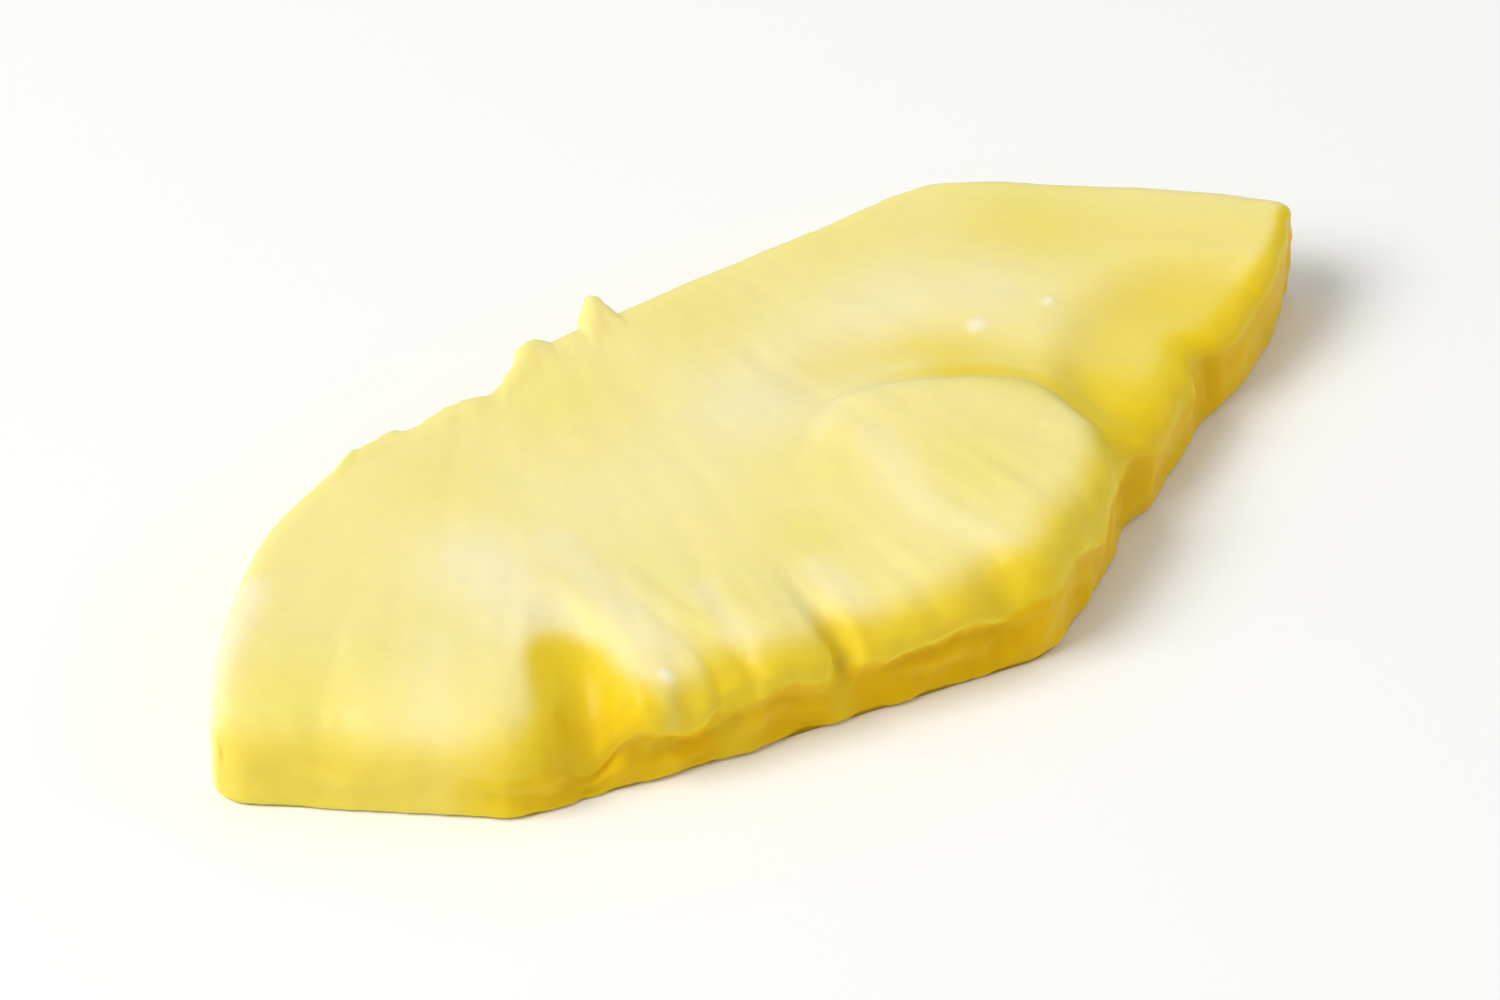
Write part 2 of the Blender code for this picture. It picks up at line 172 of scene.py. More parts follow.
# long waves and fibre ridges that the solid has too, then the finer relief that only shows up close
surfaceGrain = {
    "waveLength": 13.0,
    "waveHeight": 0.35,
    "ridgeAngle": 2.7,
    "ridgeLength": 17.0,
    "ridgeHeight": 0.07,
    "ridgeFullFrom": 40.0,  # the radius where the ridges are at their full height
    "wobbleLength": 7.0,
    "wobbleAngle": 1.3,
    "wobbleRadius": 1.3,
    "wobbleSeed": 1796053448,  # the same as in the solid
    "ribStart": 40.0,
    "ribRamp": 9.0,
    "ribAngle": 1.9,
    "ribLength": 12.0,
    "ribHeight": 0.16,
    "cleanUpTo": -34.0,  # the left flat is a clean cut up to this angle
    "cleanSoftness": 6.0,
    "cleanShare": 0.2,
    "rimLumpSize": 3.4,
    "rimLumpHeight": 0.42,
    "rimLumpSquash": 1.2,
    "rimLumpFadeFrom": 0.5,  # lumps and ribs fade out from half way down the side
    "rimLumpFade": 0.45,
    "sideRibWidth": 1.25,
    "sideRibLength": 7.0,
    "sideRibHeight": 0.16,
    "calmFrom": 16.0,  # the rind side is smoother right of this angle
    "calmSoftness": 8.0,
    "calmShare": 0.45,
    "sideWaveLength": 6.0,
    "sideWaveHeight": 0.35,
    "fibrePitch": 1.1,  # vascular fibres are 0.5 to 1 mm apart
    "fibreLength": 14.0,
    "fibreDepth": 3.0,
    "fibreHeight": 0.016,
    "fibreOnWall": 0.3,
    "fibreSway": 1.6,
    "fibreSwayLength": 9.0,
    "pulpSize": 2.6,
    "pulpHeight": 0.06,
    "tornSize": 2.6,
    "tornHeight": 0.20,
    "tornReach": 3.5,  # how far in from the rind the torn flesh reaches over the top
    "tornOnWall": 0.35,
    "coreTornFrom": -1.0,  # mm in from the core cut, where its top edge is torn too
    "coreTornWidth": 2.6,
    "coreTornUpTo": 2.0,  # only up to this angle
    "coreTornSoftness": 8.0,
    "coreTornFoot": 0.6,
}
noise.seed_set(surfaceGrain["wobbleSeed"])  # the wobble would otherwise follow the clock

# each relief reads its own layer of the noise, so that no two of them repeat each other
noiseLayer = {"wobble": 3.0, "lip": 4.0, "ridge": 5.0, "rib": 9.0, "lump": 20.0, "sideRib": 30.0}

rindArc = 57.0  # mm, the radius that turns an angle into a length along the rind side
fibreArc = 45.0  # mm, the same for the fibres, half way out
edgeFade = 0.2  # share of the way down the side over which the top gives way to the wall
fibreFade = 0.15


def clamp(value):
    return max(0.0, min(1.0, value))


def smoothStep(value):
    share = clamp(value)
    return share * share * (3.0 - 2.0 * share)


def mix(first, last, share):
    return first + (last - first) * share


def hump(offset, halfWidth, power=1.0):  # 1 in the middle, 0 from one half width away
    share = offset / halfWidth
    return max(0.0, 1.0 - share * share) ** power


def flatRadius(angle):
    corners = sliceForm["knifeCorners"]
    for (firstAngle, firstRadius), (lastAngle, lastRadius) in zip(corners, corners[1:]):
        if angle <= lastAngle or lastAngle == corners[-1][0]:
            span = math.sin(math.radians(lastAngle - firstAngle))
            before = firstRadius * math.sin(math.radians(angle - firstAngle))
            after = lastRadius * math.sin(math.radians(lastAngle - angle))
            return firstRadius * lastRadius * span / (before + after)


def rindRadius(angle):
    steps = (-1.0, -0.5, 0.0, 0.5, 1.0)
    return sum(flatRadius(angle + sliceForm["cornerBlunting"] * step) for step in steps) / len(steps)


def coreRadius(angle):
    step = smoothStep((angle - sliceForm["coreStepAngle"]) / sliceForm["coreStepWidth"] + 0.5)
    return mix(sliceForm["coreCutLeft"], sliceForm["coreCutRight"], step) / math.cos(math.radians(angle))


def roundCorners(along, across):  # bends the square's corners in without folding its grid
    side = "Rind" if across > 0.0 else "Core"
    end = "Right" if along > 0.0 else "Left"
    corner = sliceForm["round" + side + end]
    first = (abs(along) - 1.0) / corner[0] + 1.0
    second = (abs(across) - 1.0) / corner[1] + 1.0
    if first <= 0.0 or second <= 0.0:
        return along, across
    bentFirst = first * math.sqrt(1.0 - second * second / 2.0)
    bentSecond = second * math.sqrt(1.0 - first * first / 2.0)
    newAlong = 1.0 + (bentFirst - 1.0) * corner[0]
    newAcross = 1.0 + (bentSecond - 1.0) * corner[1]
    return math.copysign(newAlong, along), math.copysign(newAcross, across)


def leftFlatShare(angle):
    return 1.0 - smoothStep((angle - sliceForm["leftFlatEnd"]) / sliceForm["leftFlatSoftness"])


def petalDistance(angle, radius):  # 1 on the petal's edge
    middle = flatPlace(petal["angle"], petal["radius"], 0.0)
    return (flatPlace(angle, radius, 0.0) - middle).length / petal["size"]


def petalRise(angle, radius):
    fade = smoothStep((angle - petal["fadeAngle"]) / petal["fadeSpread"])
    return petal["rise"] * fade * smoothStep(1.0 - petalDistance(angle, radius) ** petal["edgePower"])


def grooveShare(angle, radius):
    near = hump(angle - petal["grooveAngle"], petal["grooveSpread"])
    offset = (petalDistance(angle, radius) - petal["grooveAt"]) / petal["grooveWidth"]
    return near * math.exp(-offset * offset)


def pocketShare(angle, radius):
    across = (angle - pocket["angle"]) / pocket["halfAngle"]
    outwards = (radius - pocket["radius"]) / pocket["halfRadius"]
    return smoothStep(pocket["fullness"] * (1.0 - across * across - min(outwards, 0.0) ** 2))


def leaned(angle, radius):
    share = hump(angle - lobeLean["angle"], lobeLean["spread"])
    return angle + lobeLean["turn"] * share * (lobeLean["from"] - radius)


def fruitletRise(angle, radius):
    angle = leaned(angle, radius)
    total = 0.0
    for lobe in fruitlets:
        rising = smoothStep((radius - lobe["start"]) / fruitletShape["ramp"])
        across = hump(angle - lobe["angle"], lobe["spread"], fruitletShape["topRoundness"])
        total += lobe["rise"] * rising * across
    return total


def gullyShares(angle, radius):  # how deep in each gully a place is
    angle = leaned(angle, radius)
    for gully in gullies:
        falling = smoothStep((radius - gully["start"]) / gullyShape["ramp"])
        width = gully["spread"] * mix(gullyShape["innerWidth"], 1.0, falling)
        yield gully, falling * hump(angle - gully["angle"], width, gullyShape["topRoundness"])


def gullyDepth(angle, radius):
    return sum(gully["depth"] * share for gully, share in gullyShares(angle, radius))


def flatPlace(angle, radius, height):
    turn = math.radians(angle)
    return Vector((radius * math.sin(turn), radius * math.cos(turn), height))


def longWaves(angle, radius):
    wave = noise.noise(flatPlace(angle, radius, 0.0) / surfaceGrain["waveLength"])
    strand = (angle / surfaceGrain["ridgeAngle"], radius / surfaceGrain["ridgeLength"], noiseLayer["ridge"])
    full = clamp(radius / surfaceGrain["ridgeFullFrom"])
    ridge = surfaceGrain["ridgeHeight"] * noise.noise(strand) * full
    return surfaceGrain["waveHeight"] * wave + ridge


def rindRidges(angle, radius):  # the cut fruitlets' own ribs, only near the rind
    near = smoothStep((radius - surfaceGrain["ribStart"]) / surfaceGrain["ribRamp"])
    spot = (angle / surfaceGrain["ribAngle"], radius / surfaceGrain["ribLength"], noiseLayer["rib"])
    ribs = noise.noise(spot)
    return surfaceGrain["ribHeight"] * near * ribs * tornAt(angle)


def rollAt(angle):
    for first, last in zip(rindRoll, rindRoll[1:]):
        if angle <= last[0] or last is rindRoll[-1]:
            share = smoothStep((angle - first[0]) / (last[0] - first[0]))
            wander = noise.noise((angle / lipWander["angle"], 0.0, noiseLayer["lip"]))
            drop = mix(first[1], last[1], share) + lipWander["crownDrop"] * crownShare(angle)
            wander *= lipWander["share"] * mix(1.0, lipWander["leftFlatShare"], leftFlatShare(angle))
            return drop * (1.0 + wander), mix(first[2], last[2], share)


def beadRise(angle, radius):
    total = 0.0
    for beadAngle, beadRadius, halfWidth in beads:
        if abs(radius - beadRadius) < halfWidth:
            away = (flatPlace(angle, radius, 0.0) - flatPlace(beadAngle, beadRadius, 0.0)).length
            total += beadShape["height"] * hump(away, halfWidth, beadShape["softness"])
    return total


def edgeDrop(gap, drop, width):  # a quarter round, gap is the distance in from the edge
    share = clamp(1.0 - gap / width)
    return drop * (1.0 - math.sqrt(1.0 - share * share))


def flapAt(angle, part):
    return sum(flap[part] * hump(angle - flap["angle"], flap["spread"]) for flap in flaps)


def wobbled(angle, radius):  # nothing in a fruit is a true arc, so its forms are drawn a little off
    sway = noise.noise_vector(flatPlace(angle, radius, noiseLayer["wobble"]) / surfaceGrain["wobbleLength"])
    return angle + surfaceGrain["wobbleAngle"] * sway.x, radius + surfaceGrain["wobbleRadius"] * sway.y


def topHeight(angle, radius, coreGap, endGap, rindGap):
    drop, width = rollAt(angle)
    height = sliceForm["thickness"] + longWaves(angle, radius) + rindRidges(angle, radius)
    height += beadRise(angle, radius)
    angle, radius = wobbled(angle, radius)
    height += petalRise(angle, radius)
    height -= petal["grooveDepth"] * grooveShare(angle, radius)
    height -= pocket["depth"] * pocketShare(angle, radius) ** pocket["roundness"]
    height += fruitletRise(angle, radius) - gullyDepth(angle, radius)
    height += flapAt(angle, "lift") * clamp(1.0 - coreGap / flapShape["depth"])
    height -= edgeDrop(rindGap, drop, width)
    height -= edgeDrop(min(coreGap, endGap), sliceForm["cutEdgeDrop"], sliceForm["cutEdgeWidth"])
    return height


def tornAt(angle):  # the rind side is torn, but for its left flat, a clean cut
    onRight = smoothStep((angle - surfaceGrain["cleanUpTo"]) / surfaceGrain["cleanSoftness"])
    calm = smoothStep((angle - surfaceGrain["calmFrom"]) / surfaceGrain["calmSoftness"])
    return mix(surfaceGrain["cleanShare"], 1.0, onRight) * mix(1.0, surfaceGrain["calmShare"], calm)


def rindLumps(angle, fall):
    grain = surfaceGrain
    arc = math.radians(angle) * rindArc
    below = sliceForm["thickness"] * fall
    spot = Vector((arc, below * grain["rimLumpSquash"], noiseLayer["lump"]))
    lump = noise.noise(spot / grain["rimLumpSize"])
    rib = noise.noise((arc / grain["sideRibWidth"], below / grain["sideRibLength"], noiseLayer["sideRib"]))
    total = grain["rimLumpHeight"] * lump + grain["sideRibHeight"] * rib * smoothStep(fall / edgeFade)
    faded = smoothStep((fall - grain["rimLumpFadeFrom"]) / grain["rimLumpFade"])
    return total * tornAt(angle) * (1.0 - faded)


def rindBulge(angle, fall):
    stand = rindLumps(angle, fall) - sliceForm["leftFlatLean"] * (1.0 - fall) * leftFlatShare(angle)
    for lobe in fruitlets:
        tucked = 1.0 - smoothStep(fall / lobe["foot"])
        across = hump(angle - lobe["angle"], lobe["spread"], fruitletShape["sideRoundness"])
        stand += lobe["bulge"] * across * tucked
    for gully in gullies:
        shut = smoothStep(fall / gully["foot"])
        across = hump(angle - gully["angle"], gully["spread"], gullyShape["sideRoundness"])
        stand -= gully["recess"] * across * (1.0 - shut)
    return stand


# along goes from -1 to 1 over the length, across from -1 at the core cut to 1 at the rind side,
# and fall from 0 at the top edge to 1 at the underside
def slicePoint(along, across, fall):
    rawShare = 0.5 + 0.5 * across
    rawShare += sliceForm["rowsTowardsRind"] * rawShare * (1.0 - rawShare)
    roundAlong, roundAcross = roundCorners(along, 2.0 * rawShare - 1.0)
    share = 0.5 + 0.5 * roundAcross
    end = "Right" if along > 0.0 else "Left"
    limit = mix(sliceForm["wedgeAtCore"][end], sliceForm["wedgeAtRind"][end], share * share)
    angle = limit * roundAlong
    inner = coreRadius(angle) - flapAt(angle, "reach") * (1.0 - smoothStep(fall / flapShape["foot"]))
    outer = rindRadius(angle) + rindBulge(angle, fall)
    radius = mix(inner, outer, share)
    coreGap = (outer - inner) * rawShare
    rindGap = (outer - inner) * (1.0 - rawShare)
    endGap = (1.0 - abs(along)) * math.radians(limit) * radius
    height = topHeight(angle, radius, coreGap, endGap, rindGap)
    if fall > 0.0:
        spot = flatPlace(angle, radius, sliceForm["thickness"] * fall) / surfaceGrain["sideWaveLength"]
        wave = surfaceGrain["sideWaveHeight"] * noise.noise(spot) * math.sin(math.pi * fall)
        footShare = (fall - sliceForm["footFrom"]) / (1.0 - sliceForm["footFrom"])
        tuck = sliceForm["footTuck"] * smoothStep(footShare)
        radius += (wave - tuck) * (2.0 * share - 1.0)
        height *= 1.0 - fall
    return angle, radius, height, rindGap


# a square grid is drawn out into a thin box, then each point is put in its place on the slice
def layOutGrid():
    body = bmesh.new()
    along, across = sliceForm["stepsAlong"], sliceForm["stepsAcross"]
    bmesh.ops.create_grid(body, x_segments=along, y_segments=across, size=1.0)
    drawn = bmesh.ops.extrude_face_region(body, geom=body.faces[:], use_keep_orig=True)["geom"]
    for corner in (item for item in drawn if isinstance(item, bmesh.types.BMVert)):
        corner.co.z = -1.0
    walls = [edge for edge in body.edges if abs(edge.verts[0].co.z - edge.verts[1].co.z) > 0.5]
    bmesh.ops.subdivide_edges(body, edges=walls, cuts=sliceForm["sideRows"] - 1, use_grid_fill=True)
    return body


# pale and golden streaks: each runs from one spot (angle, radius) to another. Some pale ones are painted
# highlights; the short ones are the painted sparkle on the beads of juice
streaks = [
    # painted highlight: glare on the slope turned towards the key lamp
    {"tone": "pale", "start": (-33.0, 41.0), "end": (-28.5, 45.5), "halfWidth": 4.2, "strength": 1.2},
    # pale ridge down the lobe's crown, partly painted highlight
    {"tone": "pale", "start": (-25.8, 39.5), "end": (-20.5, 50.4), "halfWidth": 2.2, "strength": 1.0},
    {"tone": "pale", "start": (8.2, 39.5), "end": (5.6, 47.1), "halfWidth": 1.7, "strength": 0.7},
    {"tone": "pale", "start": (5.6, 47.1), "end": (7.4, 53.6), "halfWidth": 1.5, "strength": 0.6},
    # pale streak down the lobe's crown, partly painted highlight
    {"tone": "pale", "start": (-14.9, 47.0), "end": (-13.1, 54.2), "halfWidth": 1.3, "strength": 0.9},
    # painted highlight right of the cleft
    {"tone": "pale", "start": (-5.2, 47.5), "end": (-4.4, 53.0), "halfWidth": 1.2, "strength": 0.7},
    # painted highlight above the groove
    {"tone": "pale", "start": (31.0, 33.0), "end": (36.0, 37.0), "halfWidth": 4.0, "strength": 0.8},
    {"tone": "pale", "start": (-22.0, 36.0), "end": (2.0, 31.0), "halfWidth": 6.0, "strength": 0.45},
    {"tone": "pale", "start": (2.0, 31.0), "end": (30.0, 32.0), "halfWidth": 5.5, "strength": 1.0},
    {"tone": "pale", "start": (-36.8, 49.0), "end": (-36.4, 57.5), "halfWidth": 2.4, "strength": 0.5},
    # painted highlight down the lobe, under its beads
    {"tone": "pale", "start": (-20.4, 53.5), "end": (-19.8, 56.5), "halfWidth": 2.0, "strength": 1.0},
    # painted highlights: the sparkle on the beads of juice
    {"tone": "pale", "start": (29.6, 37.6), "end": (30.2, 37.8), "halfWidth": 0.7, "strength": 2.0},
    {"tone": "pale", "start": (35.8, 41.2), "end": (36.0, 41.2), "halfWidth": 0.45, "strength": 2.0},
    {"tone": "pale", "start": (-20.1, 53.5), "end": (-19.9, 53.5), "halfWidth": 0.6, "strength": 2.0},
    {"tone": "pale", "start": (-20.5, 57.2), "end": (-20.3, 57.2), "halfWidth": 0.5, "strength": 1.7},
    {"tone": "gold", "start": (46.0, 36.0), "end": (48.0, 56.0), "halfWidth": 5.5, "strength": 0.19},
    # painted highlight along the left end's edge
    {"tone": "pale", "start": (-52.2, 46.0), "end": (-51.4, 58.0), "halfWidth": 1.2, "strength": 1.6},
    {"tone": "gold", "start": (23.0, 39.0), "end": (26.0, 49.0), "halfWidth": 3.0, "strength": 0.25},
]


def streakShare(tone, angle, radius):
    best = 0.0
    for streak in streaks:
        if streak["tone"] != tone:
            continue
        scale = math.radians(1.0) * radius
        start = Vector(((streak["start"][0] - angle) * scale, streak["start"][1] - radius))
        end = Vector(((streak["end"][0] - angle) * scale, streak["end"][1] - radius))
        line = end - start
        nearest = start + line * clamp(-start.dot(line) / line.length_squared)
        gap = nearest.length / streak["halfWidth"]
        best = max(best, streak["strength"] * math.exp(-gap * gap))
    return best


# riper, greenish-lemon spots: angle, radius, half width, strength
ripeSpots = [
    (-46.0, 55.0, 5.0, 0.9),
    (-40.0, 51.0, 4.0, 0.5),
    (-26.0, 44.0, 3.0, 0.8),
    (-14.6, 49.0, 2.6, 0.9),
    (-4.0, 44.0, 3.0, 0.6),
    (3.0, 38.0, 4.0, 0.5),
    (12.0, 46.0, 4.0, 0.6),
    (16.0, 33.0, 4.0, 0.9),
    (24.0, 35.0, 3.6, 0.8),
    (-20.0, 25.0, 5.0, 0.6),
    (8.0, 22.0, 4.0, 0.5),
    (38.0, 28.0, 5.0, 0.7),
    (48.0, 38.0, 5.0, 0.6),
    (-38.0, 33.0, 4.0, 0.4),
]
spotReach = 2.5  # in half widths, how far a spot is felt


def ripeShare(angle, radius):
    best = 0.0
    for spotAngle, spotRadius, halfWidth, strength in ripeSpots:
        if abs(radius - spotRadius) < spotReach * halfWidth:
            away = (flatPlace(angle, radius, 0.0) - flatPlace(spotAngle, spotRadius, 0.0)).length
            best = max(best, strength * math.exp(-(away / halfWidth) ** 2))
    return best


# how golden the flesh is: pale near the core, lemon towards the rind, deep gold in the hollows and
# down the rind side, partly as painted shade, but for its left flat, painted paler as lit by the key lamp
goldSpread = {
    "rimStart": [  # angle, mm in from the rind
        (-34.0, 7.0),
        (-28.0, 4.6),
        (-4.0, 5.2),
        (10.0, 6.2),
        (24.0, 5.2),
        (38.0, 3.7),
        (50.0, 1.6),
    ],
    "rimShare": 0.64,
    "rimSoftness": 1.5,
    "crownHighlight": 0.18,  # how much paler the lobes' crowns are than the flesh between them, a painted highlight
    "wallFrom": 0.01,  # mm in from the rind, less than this is the wall
    "wallDepth": 1.2,  # mm down the side where the wall's gold, partly painted shade, is full
    "leftFlatLitGold": 0.37,
    "leftFlatDepth": 3.7,  # mm below the top where it is full
    "leftFlatReach": 9.0,
    "leftFlatShift": -2.0,  # how much further right the left flat's painted light goes
    "gullyReach": 1.15,
    "gullyRamp": 6.0,  # mm over which a gully turns golden outwards
    "gullyLemon": 0.35,  # how much less of the rim's deep gold a gully has
    "pocket": 0.33,
    "groove": 0.28,
    "ring": 0.24,  # painted shade close round the foot of the petal's right half
    "ringAt": 1.05,
    "ringWidth": 0.08,
    "ringRamp": 8.0,
    "coreWall": 0.22,
}


def stationValue(stations, angle):
    if angle <= stations[0][0]:
        return stations[0][1]
    for first, last in zip(stations, stations[1:]):
        if angle <= last[0]:
            return mix(first[1], last[1], smoothStep((angle - first[0]) / (last[0] - first[0])))
    return stations[-1][1]


def crownShare(angle):  # 1 along the middle of a lobe
    width, roundness = fruitletShape["crownWidth"], fruitletShape["crownRoundness"]
    return max(hump(angle - lobe["angle"], lobe["spread"] * width, roundness) for lobe in fruitlets)


# deep gold in the gullies, the groove, the ring round the petal's foot and the pocket: partly the flesh's
# own colour, partly painted shade in these hollows
def hollowGoldAndShade(angle, radius, deepness):
    hollowShade = 0.0
    for gully, share in deepness:
        outwards = smoothStep((radius - gully["goldFrom"]) / goldSpread["gullyRamp"])
        hollowShade = max(hollowShade, gully["gold"] * smoothStep(share * goldSpread["gullyReach"]) * outwards)
    hollowShade = max(hollowShade, goldSpread["groove"] * grooveShare(angle, radius))
    ring = (petalDistance(*wobbled(angle, radius)) - goldSpread["ringAt"]) / goldSpread["ringWidth"]
    onRight = smoothStep((angle - petal["angle"]) / goldSpread["ringRamp"])
    hollowShade = max(hollowShade, goldSpread["ring"] * math.exp(-ring * ring) * onRight)
    hollowShade = 1.0 - (1.0 - hollowShade) * (1.0 - goldSpread["pocket"] * pocketShare(angle, radius))
    return 1.0 - (1.0 - hollowShade) * (1.0 - streakShare("gold", angle, radius))


def rimGoldAndShade(angle, height, rindGap, fall, deepness):
    rimStart = stationValue(goldSpread["rimStart"], angle)
    rim = goldSpread["rimShare"] * smoothStep(1.0 - rindGap / rimStart) ** goldSpread["rimSoftness"]
    # painted highlight: the lobes' crowns get less of the rim's gold
    rim *= 1.0 - goldSpread["crownHighlight"] * crownShare(angle)
    # down the rind side the wall turns full deep gold: partly the flesh's own colour near the rind, partly
    # painted shade on the steep side
    if rindGap < goldSpread["wallFrom"]:
        rim = mix(rim, 1.0, smoothStep(fall * sliceForm["thickness"] / goldSpread["wallDepth"]))
    rim *= 1.0 - goldSpread["gullyLemon"] * max(share for gully, share in deepness)
    # painted light: the left flat, turned towards the key lamp, gets only a little gold, more of it further
    # below the top
    below = smoothStep((sliceForm["thickness"] - height) / goldSpread["leftFlatDepth"])
    below *= smoothStep(1.0 - rindGap / goldSpread["leftFlatReach"])
    onLeftFlat = leftFlatShare(angle + goldSpread["leftFlatShift"])
    return mix(rim, goldSpread["leftFlatLitGold"] * below, onLeftFlat)


# gold from the hollows and the rind side, partly the flesh's colour and partly painted shade, and a little
# on the core cut's side
def goldAndShadeShare(angle, radius, height, rindGap, fall):
    deepness = list(gullyShares(angle, radius))
    hollowShade = hollowGoldAndShade(angle, radius, deepness)
    rim = rimGoldAndShade(angle, height, rindGap, fall, deepness)
    coreWall = goldSpread["coreWall"] * smoothStep(fall / edgeFade)
    return clamp(max(1.0 - (1.0 - hollowShade) * (1.0 - rim), coreWall))


skew = Euler((0.7, 0.4, 1.1)).to_matrix()  # keeps the grain of the noise off the slice's own lines
lumpFractal = (0.8, 2.0, 3)  # how fast the finer lumps fade, how much finer each is, and how many there are


def lumps(spot, size):
    return noise.fractal(skew @ spot / size, *lumpFractal)


def coreEdgeTorn(angle, radius, fall):
    grain = surfaceGrain
    coreGap = radius - coreRadius(angle)
    near = smoothStep(1.0 - (coreGap - grain["coreTornFrom"]) / grain["coreTornWidth"])
    onLeft = smoothStep((grain["coreTornUpTo"] - angle) / grain["coreTornSoftness"])
    return near * onLeft * (1.0 - smoothStep(fall / grain["coreTornFoot"]))


def fineRelief(angle, radius, height, rindGap, fall):
    grain = surfaceGrain
    spot = flatPlace(angle, radius, height)
    sway = grain["fibreSway"] * noise.noise(spot / grain["fibreSwayLength"])
    arc = math.radians(angle) * fibreArc + sway
    strand = (arc / grain["fibrePitch"], radius / grain["fibreLength"], height / grain["fibreDepth"])
    onTop = 1.0 - smoothStep(fall / fibreFade)
    torn = max(smoothStep(1.0 - rindGap / grain["tornReach"]), grain["tornOnWall"] * (1.0 - onTop))
    torn = torn * tornAt(angle) + coreEdgeTorn(angle, radius, fall)
    relief = grain["fibreHeight"] * noise.noise(strand) * mix(grain["fibreOnWall"], 1.0, onTop)
    relief += grain["pulpHeight"] * lumps(spot, grain["pulpSize"])
    relief += grain["tornHeight"] * lumps(spot, grain["tornSize"]) * torn
    return relief


def makeSliceMesh():
    body = layOutGrid()
    facts = {}
    for corner in body.verts:
        fall = -corner.co.z
        angle, radius, height, rindGap = slicePoint(corner.co.x, corner.co.y, fall)
        facts[corner.index] = (angle, radius, height, rindGap, fall)
        turn = math.radians(angle)
        corner.co = Vector((radius * math.sin(turn), -radius * math.cos(turn), height)) * mm
    bmesh.ops.recalc_face_normals(body, faces=body.faces)
    body.normal_update()
    moves = {}
    for corner in body.verts:
        angle, radius, height, rindGap, fall = facts[corner.index]
        if height > 0.0:
            moves[corner] = corner.normal * fineRelief(angle, radius, height, rindGap, fall) * mm
    for corner, move in moves.items():
        corner.co += move
    mesh = bpy.data.meshes.new("pineappleFlesh")
    body.to_mesh(mesh)
    body.free()
    return mesh, [facts[index] for index in range(len(mesh.vertices))]


# what the material reads at each point: where the fibres run, how golden it is (partly painted shade), how
# pale (partly painted highlight) and how ripe
def paintFacts(mesh, facts):
    place = mesh.attributes.new("fibrePlace", "FLOAT_VECTOR", "POINT")
    gold = mesh.attributes.new("gold", "FLOAT", "POINT")
    pale = mesh.attributes.new("pale", "FLOAT", "POINT")
    ripe = mesh.attributes.new("ripe", "FLOAT", "POINT")
    for index, (angle, radius, height, rindGap, fall) in enumerate(facts):
        place.data[index].vector = (math.radians(angle) * fibreArc, radius, height)
        streak = streakShare("pale", angle, radius)
        bare = 1.0 - clamp(streak - fleshLook["paleOverGold"])
        gold.data[index].value = goldAndShadeShare(angle, radius, height, rindGap, fall) * bare
        pale.data[index].value = streak * mix(1.0, fleshLook["paleOnWall"], smoothStep(fall / edgeFade))
        ripe.data[index].value = ripeShare(angle, radius)


def placeOnAxis(mesh):  # the fruit's axis stands behind the slice, upright
    across, back = sliceForm["axisPlace"]
    for vertex in mesh.vertices:
        vertex.co.x += across * mm
        vertex.co.y += back * mm


def linear(hexColour):  # an sRGB hex colour as linear red, green, blue and alpha
    channels = [int(hexColour[place:place + 2], 16) / 255.0 for place in (1, 3, 5)]
    return [c / 12.92 if c <= 0.04045 else ((c + 0.055) / 1.055) ** 2.4 for c in channels] + [1.0]


def addNode(tree, kind, settings=None, links=None):  # settings: properties or socket values
    node = tree.nodes.new(kind)
    for name, value in (settings or {}).items():
        if isinstance(name, int) or name in node.inputs:
            node.inputs[name].default_value = value
        else:
            setattr(node, name, value)
    for name, source in (links or {}).items():
        tree.links.new(source, node.inputs[name])
    return node


# fresh pineapple flesh, cut with a knife: watery cells that let light in, so it glows softly,
# pale between the fibres and gold close to the rind, with painted shade and painted highlights in its
# colour too
fleshLook = {
    "cream": "#FBEDBC",
    "lemon": "#F0E278",
    "lime": "#E6DC60",
    # the pale of the fibres and streaks, also the colour of the painted highlights
    "pale": "#FAEDCB",
    "lemonGold": "#F0E266",
    "gold": "#EDD52C",
    "deepGold": "#EABE02",
    "amber": "#DEA900",
    "bandWidth": 5.5,  # mm across the pale and lemon bands
    "bandLength": 14.0,
    "bandDepth": 5.5,
    "bundleWidth": 1.9,
    "bundleLength": 20.0,
    "bundleDepth": 6.0,
    "bundleShare": 0.35,
    "strandWidth": 0.6,
    "strandLength": 11.0,
    "strandDepth": 4.0,
    "strandFrom": 0.5,
    "strandShare": 0.85,
    "patternContrast": (0.32, 0.68),
    "patchSize": 5.0,  # riper patches, a fruitlet's half across
    "patchContrast": (0.46, 0.64),
    "patchShare": 0.5,
    "ripeShare": 0.6,
    "sway": 1.8,  # how far the fibres wander off their line
    "swayLength": 8.0,
    "paleOverGold": 0.8,  # pale streaks and painted highlights stronger than this lie over the gold too
    "paleOnWall": 0.5,
    "goldStops": {"lemonGold": 0.15, "gold": 0.62, "deepGold": 0.97},
    "goldFull": 0.5,
    "amberShare": 0.35,
    "cellSize": 0.75,  # juice cells, about 0.3 mm in the real fruit, drawn larger so that they show
    "bumpHeight": 0.10,
    "cellShare": 0.5,
    "strandHeight": 0.5,
    "roughness": (0.26, 0.48),  # wetter on the pale bands
    "ior": 1.35,
    "shine": 0.11,
    "glowDepth": 1.3,  # mm that light travels in the flesh, least for blue
    "glowTint": (1.0, 0.92, 0.3),
    "wetCoat": 0.15,  # the film of juice
    "wetCoatRoughness": 0.12,
    "wetCoatIor": 1.33,
}


